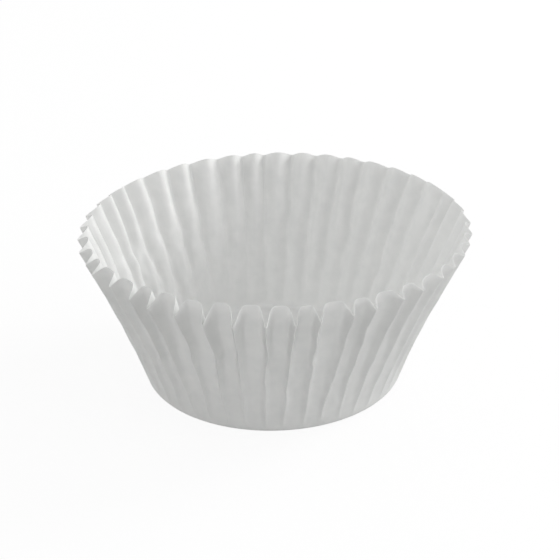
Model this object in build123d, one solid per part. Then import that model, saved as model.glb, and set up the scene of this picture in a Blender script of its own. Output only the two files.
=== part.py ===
from build123d import *
from functools import lru_cache
import math
import os

# Driving dimensions, in millimetres and degrees.
base_d = 50.8        # across the foot of the wall, on the middle of the paper
blank_d = 114.3      # flat disc of paper that the liner is pressed from
paper_t = 0.10       # paper thickness
foot_r = 1.2         # bend between base and wall, on the middle of the paper
foot_angle = 15.5    # wall from upright, just above the bend
rim_angle = 22.8     # wall from upright, at the rim
flutes = 44          # flutes round the wall
rim_depth = 1.25     # crests and folds from the middle of the wall, at the rim
depth_growth = 0.75  # power by which that depth grows with the run up the wall
crest_pinch = 0.6    # 0 rounds crests and folds alike, 1 makes each crest a knife edge

# Where the wall starts, and how much paper it is made of.
flat_r = base_d / 2 - foot_r
foot_turn = math.radians(90.0 - foot_angle)
wall_r = flat_r + foot_r * math.sin(foot_turn)
wall_z = paper_t / 2 + foot_r * (1.0 - math.cos(foot_turn))
wall_run = blank_d / 2 - flat_r - foot_r * foot_turn
pitch = 360.0 / flutes

# How finely one flute is drawn: points across it, and curves up the wall.
across = 16
curves_up = 8


@lru_cache(maxsize=None)
def wall_line(run):
    """Radius and height of the middle of the wall, before it is fluted."""
    r = wall_r
    z = wall_z
    steps = 24
    for i in range(steps):
        share = (i + 0.5) / steps * run / wall_run
        angle = rim_angle - (rim_angle - foot_angle) * (1.0 - share) ** 2
        r += run / steps * math.sin(math.radians(angle))
        z += run / steps * math.cos(math.radians(angle))
    return r, z


def flute_depth(run):
    """How far crests stand out and folds stand in, from nothing at the foot."""
    return rim_depth * (run / wall_run) ** depth_growth


def fluted_point(run, depth, turn):
    """A point on the middle of the paper; turn counts flutes from crest to crest.

    The wall doesn't stretch up its length: every line up it is as long as the
    next, so the folds, which stand closer to upright, reach higher than the crests.
    """
    mean_r, mean_z = wall_line(run)
    wave = 2.0 * math.pi * turn
    pinch = crest_pinch * (1.0 - (1.0 - run / wall_run) ** 4)
    angle = math.radians(pitch * (turn - pinch * math.sin(wave) / (2.0 * math.pi)))
    r = mean_r + depth * math.cos(wave)
    reach = (mean_r - wall_r) ** 2 + (mean_z - wall_z) ** 2
    z = wall_z + math.sqrt(reach - (r - wall_r) ** 2)
    return Vector(r * math.cos(angle), r * math.sin(angle), z)


def skin_point(run, turn, side):
    """A point on the outer (+1) or inner (-1) face of the paper."""
    step = 1e-4
    depth = flute_depth(run)
    depth_up = flute_depth(run + step) if run else 0.0
    here = fluted_point(run, depth, turn)
    up = fluted_point(run + step, depth_up, turn) - here
    along = fluted_point(run, depth, turn + step) - fluted_point(run, depth, turn - step)
    return here + along.cross(up).normalized() * (side * paper_t / 2)


def flute_curve(run, side):
    """The curve across one flute, from crest to crest, on one face of the paper."""
    turns = [i / across for i in range(across + 1)]
    points = [skin_point(run, turn, side) for turn in turns]
    nudge = 1e-4
    ends = []
    for turn in (0.0, 1.0):
        step = skin_point(run, turn + nudge, side) - skin_point(run, turn - nudge, side)
        ends.append(step / (2.0 * nudge))
    return Edge.make_spline(points, tangents=ends, parameters=turns, scale=False)


def bend_face(side):
    """One pitch of the bend between base and wall, on one face of the paper."""
    bend = foot_r + side * paper_t / 2
    centre = Vector(flat_r, 0, paper_t / 2 + foot_r)
    turns = [foot_turn * i / 2 for i in range(3)]
    arc = [centre + Vector(math.sin(a), 0, -math.cos(a)) * bend for a in turns]
    return Face.revolve(Edge.make_three_point_arc(*arc), pitch, Axis.Z)


def base_face(side):
    """The flat base, on one face of the paper."""
    plane = Plane((0, 0, paper_t / 2 - side * paper_t / 2))
    arcs = [
        Edge.make_circle(flat_r, plane, start_angle=pitch * i, end_angle=pitch * (i + 1))
        for i in range(flutes)
    ]
    return Face(Wire(arcs))


runs = [wall_run * i / curves_up for i in range(curves_up + 1)]
outer = [flute_curve(run, +1) for run in runs]
inner = [flute_curve(run, -1) for run in runs]
one_flute = [bend_face(+1), bend_face(-1), Face.make_surface_from_curves(outer[-1], inner[-1])]
for curves in (outer, inner):
    one_flute += Shell.make_loft([Wire([curve]) for curve in curves]).faces()

faces = [base_face(+1), base_face(-1)]
for i in range(flutes):
    faces += [Rot(0, 0, pitch * i) * face for face in one_flute]
liner = Solid(Shell(faces))
liner.label = "liner"

os.makedirs("parts", exist_ok=True)
export_step(liner, "parts/liner.step")
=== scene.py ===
import math
import random

import bpy
from mathutils import Matrix, Vector, noise


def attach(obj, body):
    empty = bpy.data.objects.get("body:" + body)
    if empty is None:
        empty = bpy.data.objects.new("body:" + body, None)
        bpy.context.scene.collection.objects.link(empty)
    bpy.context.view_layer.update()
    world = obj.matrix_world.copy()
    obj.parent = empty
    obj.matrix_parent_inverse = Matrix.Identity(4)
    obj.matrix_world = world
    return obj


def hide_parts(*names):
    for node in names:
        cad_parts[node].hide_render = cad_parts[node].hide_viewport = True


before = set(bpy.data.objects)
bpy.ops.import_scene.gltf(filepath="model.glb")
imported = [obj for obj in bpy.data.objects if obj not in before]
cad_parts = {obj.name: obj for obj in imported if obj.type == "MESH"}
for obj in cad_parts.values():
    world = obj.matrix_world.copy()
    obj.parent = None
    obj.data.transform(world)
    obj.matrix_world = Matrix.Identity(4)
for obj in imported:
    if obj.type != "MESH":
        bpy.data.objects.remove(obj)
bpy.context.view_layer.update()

MM = 0.001

# The liner as it is cut and pressed, in millimetres and degrees.
BASE_D = 50.8             # across the foot of the wall
BLANK_D = 114.3           # across the flat disc of paper it is pressed from
PAPER_T = 0.10            # paper thickness
CUT_EDGE = 0.35           # share of that thickness left at the cut rim
FOOT_R = 1.2              # bend between base and wall
FOOT_ANGLE = 15.5         # wall from upright, just above the bend
RIM_ANGLE = 22.8          # wall from upright, at the rim
FLUTES = 44

# How the flutes of a handled liner stand. Lengths are in millimetres, at the rim.
FLUTE_DEPTH = 1.02        # crests and folds from the middle of the wall
FRONT_OPEN = 0.42         # how much deeper the flutes are where the rim has sprung out
BACK_CLOSED = 0.05        # how much shallower they are opposite
RIGHT_CLOSED = 0.38       # how much shallower they are on the side that was pressed flat
DEPTH_GROWTH = 0.72       # power by which the depth grows up the wall
FOLD_FLAT = 0.9           # higher gives narrower crests between flatter folds
FRONT_FLAT = 3.4          # the same where the rim has sprung out
CREST_SOFT = 0.45         # rounds the very edge of each crest
FRONT_SOFT = 0.22         # the same where the rim has sprung out
SPRUNG_REACH = 1.3        # higher takes the sprung shape further round from the front

# How the whole mouth of a handled liner stands, in millimetres.
SPREAD = 0.45             # how far it has relaxed outward
SPRUNG = 0.10             # how much further its front stands out
CREST_DROP = 0.55         # how far the crests are pulled down at the rim
FRONT_DROP = 1.25         # how much further at the front
RIM_RISE = 0.85           # how far the whole rim is drawn up
MOUTH_SHIFT = 0.82        # how far it sits off the base's centre
SPRUNG_SIDE = 4.54        # the middle of the sprung part, in radians round the wall
CRUMPLED_SIDE = 2.5       # the middle of the crumpled part, the same way

# How unevenly the flutes are spaced, in flutes.
CREST_TURN = 0.4          # where round the wall they start
SQUEEZE = 0.33            # how far the front ones are crowded together
SQUEEZE_TURN = 10         # degrees from dead front to the most crowded ones
FOOT_SHIFT = 0.4          # share of a crest's own shift that it has at the foot
KINK_RUN = 0.05           # share of the wall's height that a kink takes
CREASE_STRAY = 0.10       # how far a crease strays as it climbs
CREASE_WAVES = 6.0        # how often it strays on the way

# Wrinkles in the paper, in millimetres: how deep, how wide round, how long up the wall.
DENTS = (0.10, 3.0, 9.0)
RIPPLES = (0.035, 1.1, 3.5)
CRUMPLING = (0.50, 1.1, 3.6)
CRUMPLED_ROUND = 0.2      # share of the crumpling that goes all round the wall
WRINKLE_R = 30.0          # where widths round the wall are measured
WRINKLE_START = 0.15      # share of the wall over which wrinkles come in above the foot

# How finely the paper is drawn.
ACROSS = 16
CREASE_CROWD = 0.72       # 0 spaces the points evenly, 1 crowds them into the creases
ROWS_UP = 56
BEND_ROWS = 4
LINE_STEPS = 24
BASE_RINGS = (4.0, 9.0, 15.0, 20.0, 22.8)
SHARP_CORNER = 70         # degrees from which an edge is drawn sharp

COLUMNS = FLUTES * ACROSS
PITCH = 2 * math.pi / FLUTES
FLAT_R = BASE_D / 2 - FOOT_R
FOOT_TURN = math.radians(90 - FOOT_ANGLE)
WALL_R = FLAT_R + FOOT_R * math.sin(FOOT_TURN)
WALL_Z = PAPER_T / 2 + FOOT_R * (1 - math.cos(FOOT_TURN))
WALL_RUN = BLANK_D / 2 - FLAT_R - FOOT_R * FOOT_TURN

rng = random.Random(4)
crest_shift = [rng.uniform(-0.05, 0.05) for _ in range(FLUTES)]
crest_lean = [rng.uniform(-0.06, 0.06) for _ in range(FLUTES)]
crest_depth = [rng.uniform(0.86, 1.14) for _ in range(FLUTES)]
fold_depth = [rng.uniform(0.88, 1.12) for _ in range(FLUTES)]
kink_height = [rng.uniform(0.22, 0.62) for _ in range(FLUTES)]
kink_size = [rng.uniform(-0.12, 0.12) for _ in range(FLUTES)]


def smooth_step(low, high, value):
    """0 up to low, 1 from high on, and an easy curve between them."""
    share = min(1.0, max(0.0, (value - low) / (high - low)))
    return share * share * (3 - 2 * share)


def wall_line(up):
    """Radius and height of the middle of the wall, before it is fluted."""
    r, z = WALL_R, WALL_Z
    for i in range(LINE_STEPS):
        share = (i + 0.5) / LINE_STEPS * up
        angle = math.radians(RIM_ANGLE - (RIM_ANGLE - FOOT_ANGLE) * (1 - share) ** 2)
        r += up * WALL_RUN / LINE_STEPS * math.sin(angle)
        z += up * WALL_RUN / LINE_STEPS * math.cos(angle)
    return r, z


def crest_angle(k, up):
    """Where crest k stands round the wall, at one height."""
    k = k % FLUTES
    turn = k + CREST_TURN
    turn -= SQUEEZE * math.cos(turn * PITCH - math.radians(SQUEEZE_TURN))
    turn += crest_shift[k] * (FOOT_SHIFT + (1 - FOOT_SHIFT) * up) + crest_lean[k] * up
    turn += kink_size[k] * smooth_step(kink_height[k], kink_height[k] + KINK_RUN, up)
    turn += CREASE_STRAY * noise.noise(Vector((k * 3.7, up * CREASE_WAVES, 1.5)))
    return turn * PITCH


def fold_profile(share, front):
    """1 on the crest, -1 on the fold, as share goes from one crest to the next."""
    opened = min(1.0, SPRUNG_REACH * front)
    flat = FOLD_FLAT + (FRONT_FLAT - FOLD_FLAT) * opened
    soft = CREST_SOFT + (FRONT_SOFT - CREST_SOFT) * opened
    dip = math.hypot(math.sin(math.pi * share), soft) - soft
    deepest = math.hypot(1, soft) - soft
    return 1 - 2 * math.tanh(flat * dip) / math.tanh(flat * deepest)


def wrinkle(kind, angle, up, start):
    """One kind of wrinkle; start keeps the kinds from lying on each other."""
    depth, width, length = kind
    x, y = WRINKLE_R * math.cos(angle), WRINKLE_R * math.sin(angle)
    return depth * noise.noise(Vector((x / width, y / width, up * WALL_RUN / length + start)))


def wrinkles(angle, up):
    """Small dents and ripples that pressing and handling leave in the paper."""
    low_half = smooth_step(0.05, 0.25, up) * (1 - smooth_step(0.5, 0.85, up))
    patch = max(0.0, math.cos(angle - CRUMPLED_SIDE)) ** 4
    patch = CRUMPLED_ROUND + (1 - CRUMPLED_ROUND) * patch
    dents = wrinkle(DENTS, angle, up, 0.0)
    ripples = wrinkle(RIPPLES, angle, up, 40.0)
    return dents + ripples + wrinkle(CRUMPLING, angle, up, 90.0) * low_half * patch


def wall_point(k, share, up, mean):
    """A point on the middle of the paper, in millimetres.

    The paper doesn't stretch up its length, so where it stands closer to
    upright, as in the folds, it reaches higher.
    """
    mean_r, mean_z = mean
    start = crest_angle(k, up)
    end = crest_angle(k + 1, up) + (2 * math.pi if k == FLUTES - 1 else 0.0)
    angle = start + (end - start) * share
    front = max(0.0, math.cos(angle - SPRUNG_SIDE))
    back = max(0.0, math.sin(angle))
    right = max(0.0, math.cos(angle))
    profile = fold_profile(share, front)

    uneven = fold_depth[k]
    if profile > 0:
        crest = crest_depth[k if share < 0.5 else (k + 1) % FLUTES]
        uneven = uneven + (crest - uneven) * profile
    depth = FLUTE_DEPTH - BACK_CLOSED * back - RIGHT_CLOSED * right
    depth *= up ** DEPTH_GROWTH
    depth += FRONT_OPEN * front ** 4 * up ** 3
    depth *= uneven

    relaxed = (SPREAD + SPRUNG * front ** 2) * up
    dents = wrinkles(angle, up) * min(1.0, up / WRINKLE_START)
    r = mean_r + relaxed + depth * profile + dents
    reach = (mean_r + relaxed - WALL_R) ** 2 + (mean_z - WALL_Z) ** 2
    z = WALL_Z + math.sqrt(max(0.0, reach - (r - WALL_R) ** 2))
    z -= (CREST_DROP + FRONT_DROP * front ** 4) * up ** 4 * (0.5 + 0.5 * profile)
    z += RIM_RISE * up
    return Vector((r * math.cos(angle) + MOUTH_SHIFT * up, r * math.sin(angle), z))


def paper_rows():
    """Rings of points on the middle of the paper, from the base's centre to the rim."""
    shares = []
    for i in range(ACROSS):
        even = i / ACROSS
        shares.append(even - CREASE_CROWD * math.sin(2 * math.pi * even) / (2 * math.pi))

    def wall_row(up, mean):
        return [wall_point(i // ACROSS, shares[i % ACROSS], up, mean) for i in range(COLUMNS)]

    foot_angles = [math.atan2(p.y, p.x) for p in wall_row(0.0, (WALL_R, WALL_Z))]

    def round_row(r, z):
        return [Vector((r * math.cos(a), r * math.sin(a), z)) for a in foot_angles]

    rows = [round_row(r, PAPER_T / 2) for r in (*BASE_RINGS, FLAT_R)]
    for step in range(1, BEND_ROWS):
        turn = FOOT_TURN * step / BEND_ROWS
        r = FLAT_R + FOOT_R * math.sin(turn)
        rows.append(round_row(r, PAPER_T / 2 + FOOT_R * (1 - math.cos(turn))))
    for step in range(ROWS_UP + 1):
        up = step / ROWS_UP
        rows.append(wall_row(up, wall_line(up)))
    return rows


def paper_normals(rows):
    """The outward way at every point of the rings."""
    normals = []
    last = len(rows) - 1
    for j, row in enumerate(rows):
        above = rows[min(j + 1, last)]
        below = rows[max(j - 1, 0)]
        ring = []
        for i in range(COLUMNS):
            along = row[(i + 1) % COLUMNS] - row[i - 1]
            climb = above[i] - below[i]
            ring.append(along.cross(climb).normalized())
        normals.append(ring)
    return normals


def make_paper(name):
    """The fluted paper as one closed skin: outer face, rim edge, inner face."""
    rows = paper_rows()
    normals = paper_normals(rows)
    points = []
    for side in (1, -1):
        points.append(Vector((0, 0, PAPER_T / 2 * (1 - side))))
        for row, ring in zip(rows, normals):
            half = PAPER_T / 2 * (CUT_EDGE if row is rows[-1] else 1.0)
            points += [p + n * (side * half) for p, n in zip(row, ring)]

    skin = 1 + len(rows) * COLUMNS
    rim = 1 + (len(rows) - 1) * COLUMNS
    faces = []
    for i in range(COLUMNS):
        n = (i + 1) % COLUMNS
        faces.append((0, 1 + n, 1 + i))
        faces.append((skin, skin + 1 + i, skin + 1 + n))
        for j in range(len(rows) - 1):
            low = 1 + j * COLUMNS
            high = low + COLUMNS
            faces.append((low + i, low + n, high + n, high + i))
            faces.append((skin + low + n, skin + low + i, skin + high + i, skin + high + n))
        faces.append((rim + i, rim + n, skin + rim + n, skin + rim + i))

    mesh = bpy.data.meshes.new(name)
    mesh.from_pydata([p * MM for p in points], [], faces)
    mesh.validate()
    mesh.shade_smooth()
    mesh.set_sharp_from_angle(angle=math.radians(SHARP_CORNER))
    paper = bpy.data.objects.new(name, mesh)
    bpy.context.scene.collection.objects.link(paper)
    return paper


def grain_group():
    """Fine grain and soft clouds, for paper and board."""
    group = bpy.data.node_groups.new("fine_grain", "ShaderNodeTree")
    for name, value in (("Grain Size", 2500.0), ("Cloud Size", 260.0)):
        socket = group.interface.new_socket(name, in_out="INPUT", socket_type="NodeSocketFloat")
        socket.default_value = value
    for name in ("Grain", "Clouds"):
        group.interface.new_socket(name, in_out="OUTPUT", socket_type="NodeSocketFloat")
    nodes, links = group.nodes, group.links
    inputs = nodes.new("NodeGroupInput")
    outputs = nodes.new("NodeGroupOutput")
    place = nodes.new("ShaderNodeTexCoord")
    for size, detail, out in (("Grain Size", 4.0, "Grain"), ("Cloud Size", 5.0, "Clouds")):
        speckle = nodes.new("ShaderNodeTexNoise")
        speckle.inputs["Detail"].default_value = detail
        speckle.inputs["Roughness"].default_value = 0.6
        links.new(place.outputs["Object"], speckle.inputs["Vector"])
        links.new(inputs.outputs[size], speckle.inputs["Scale"])
        links.new(speckle.outputs["Fac"], outputs.inputs[out])
    return group


def blank_material(name):
    """A material with nothing in it yet."""
    material = bpy.data.materials.new(name)
    material.use_nodes = True
    material.node_tree.nodes.clear()
    return material, material.node_tree.nodes, material.node_tree.links


def greaseproof_paper(grain):
    """Thin white greaseproof paper that lets light through."""
    material, nodes, links = blank_material("greaseproof_paper")
    texture = nodes.new("ShaderNodeGroup")
    texture.node_tree = grain
    texture.inputs["Grain Size"].default_value = 2600.0
    texture.inputs["Cloud Size"].default_value = 420.0

    tint = nodes.new("ShaderNodeValToRGB")
    tint.color_ramp.elements[0].position = 0.30
    tint.color_ramp.elements[0].color = (0.838, 0.842, 0.836, 1)
    tint.color_ramp.elements[1].position = 0.70
    tint.color_ramp.elements[1].color = (0.885, 0.886, 0.878, 1)
    links.new(texture.outputs["Clouds"], tint.inputs["Fac"])

    gloss = nodes.new("ShaderNodeMapRange")
    gloss.inputs["To Min"].default_value = 0.50
    gloss.inputs["To Max"].default_value = 0.68
    links.new(texture.outputs["Clouds"], gloss.inputs["Value"])

    bump = nodes.new("ShaderNodeBump")
    bump.inputs["Strength"].default_value = 0.18
    bump.inputs["Distance"].default_value = 0.00004
    links.new(texture.outputs["Grain"], bump.inputs["Height"])

    face = nodes.new("ShaderNodeBsdfPrincipled")
    face.inputs["Specular IOR Level"].default_value = 0.4
    links.new(tint.outputs["Color"], face.inputs["Base Color"])
    links.new(gloss.outputs["Result"], face.inputs["Roughness"])
    links.new(bump.outputs["Normal"], face.inputs["Normal"])

    through = nodes.new("ShaderNodeBsdfTranslucent")
    links.new(tint.outputs["Color"], through.inputs["Color"])
    links.new(bump.outputs["Normal"], through.inputs["Normal"])

    sheet = nodes.new("ShaderNodeMixShader")
    sheet.inputs["Fac"].default_value = 0.40
    links.new(face.outputs["BSDF"], sheet.inputs[1])
    links.new(through.outputs["BSDF"], sheet.inputs[2])
    surface = nodes.new("ShaderNodeOutputMaterial")
    links.new(sheet.outputs["Shader"], surface.inputs["Surface"])
    return material


def seen(nodes, links, strength):
    """A strength for what is looked at, mirrored or looked through, and 0 for its light."""
    rays = nodes.new("ShaderNodeLightPath")
    total = nodes.new("ShaderNodeMath")
    total.operation = "MAXIMUM"
    links.new(rays.outputs["Is Camera Ray"], total.inputs[0])
    links.new(rays.outputs["Is Glossy Ray"], total.inputs[1])
    every = nodes.new("ShaderNodeMath")
    every.operation = "MAXIMUM"
    links.new(total.outputs["Value"], every.inputs[0])
    links.new(rays.outputs["Is Transmission Ray"], every.inputs[1])
    scaled = nodes.new("ShaderNodeMath")
    scaled.operation = "MULTIPLY"
    links.new(every.outputs["Value"], scaled.inputs[0])
    scaled.inputs[1].default_value = strength
    return scaled.outputs["Value"]


def studio_board(grain):
    """A white board that looks white to the camera and still takes a shadow."""
    material, nodes, links = blank_material("studio_board")
    texture = nodes.new("ShaderNodeGroup")
    texture.node_tree = grain
    texture.inputs["Grain Size"].default_value = 900.0
    texture.inputs["Cloud Size"].default_value = 20.0

    tint = nodes.new("ShaderNodeValToRGB")
    tint.color_ramp.elements[0].color = (0.43, 0.43, 0.43, 1)
    tint.color_ramp.elements[1].color = (0.47, 0.47, 0.47, 1)
    links.new(texture.outputs["Grain"], tint.inputs["Fac"])
    board = nodes.new("ShaderNodeBsdfPrincipled")
    board.inputs["Roughness"].default_value = 0.9
    board.inputs["Specular IOR Level"].default_value = 0.0
    links.new(tint.outputs["Color"], board.inputs["Base Color"])

    glow = nodes.new("ShaderNodeEmission")
    glow.inputs["Strength"].default_value = 1.13
    blend = nodes.new("ShaderNodeMixShader")
    links.new(seen(nodes, links, 0.80), blend.inputs["Fac"])
    links.new(board.outputs["BSDF"], blend.inputs[1])
    links.new(glow.outputs["Emission"], blend.inputs[2])
    surface = nodes.new("ShaderNodeOutputMaterial")
    links.new(blend.outputs["Shader"], surface.inputs["Surface"])
    return material


def make_floor(material):
    """A square board a hair under the liner, so that the two never share a plane."""
    size, z = 0.6, -0.00004
    mesh = bpy.data.meshes.new("floor")
    corners = [(-size, -size, z), (size, -size, z), (size, size, z), (-size, size, z)]
    mesh.from_pydata(corners, [], [(0, 1, 2, 3)])
    mesh.materials.append(material)
    floor = bpy.data.objects.new("floor", mesh)
    bpy.context.scene.collection.objects.link(floor)


def make_camera():
    """A camera in front of the liner and above it, turned a degree about its view."""
    rise = math.radians(29.79)
    away = 290.0
    place = Vector((0, -away * math.cos(rise), away * math.sin(rise)))
    aim = Vector((1.50, 0, 18.95))
    roll = math.radians(-1.0)
    forward = (aim - place).normalized()
    right = forward.cross(Vector((0, 0, 1))).normalized()
    top = right.cross(forward)
    turned_right = right * math.cos(roll) + top * math.sin(roll)
    turned_top = top * math.cos(roll) - right * math.sin(roll)
    lens = bpy.data.cameras.new("camera")
    lens.sensor_width = 36.0
    lens.lens = 92.8
    lens.clip_start = 0.01
    camera = bpy.data.objects.new("camera", lens)
    pose = Matrix((turned_right, turned_top, -forward)).transposed().to_4x4()
    pose.translation = place * MM
    camera.matrix_world = pose
    bpy.context.scene.collection.objects.link(camera)
    bpy.context.scene.camera = camera


def softbox(name, place, size, power):
    """A square soft lamp that faces the middle of the liner."""
    lamp = bpy.data.lights.new(name, "AREA")
    lamp.size = size
    lamp.energy = power
    box = bpy.data.objects.new(name, lamp)
    box.location = place
    liner_middle = Vector((0, 0, 0.015))
    box.rotation_euler = (liner_middle - Vector(place)).to_track_quat("-Z", "Y").to_euler()
    bpy.context.scene.collection.objects.link(box)


def make_world(level):
    """Even light from all round, white where it is seen."""
    world = bpy.data.worlds.new("studio")
    world.use_nodes = True
    nodes, links = world.node_tree.nodes, world.node_tree.links
    sky = nodes["Background"]
    sky.inputs["Color"].default_value = (1, 1, 1, 1)
    strength = nodes.new("ShaderNodeMath")
    strength.operation = "ADD"
    links.new(seen(nodes, links, 1.0 - level), strength.inputs[0])
    strength.inputs[1].default_value = level
    links.new(strength.outputs["Value"], sky.inputs["Strength"])
    bpy.context.scene.world = world


make_camera()
grain = grain_group()

liner = make_paper("fluted_paper")
liner.data.materials.append(greaseproof_paper(grain))
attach(liner, "root")
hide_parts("liner")

make_floor(studio_board(grain))
softbox("key", (0.79, 0.38, 0.46), 0.40, 4.4)
softbox("fill", (0.85, -0.28, 0.20), 0.60, 2.5)
make_world(0.80)
bpy.context.scene.view_settings.view_transform = "Standard"
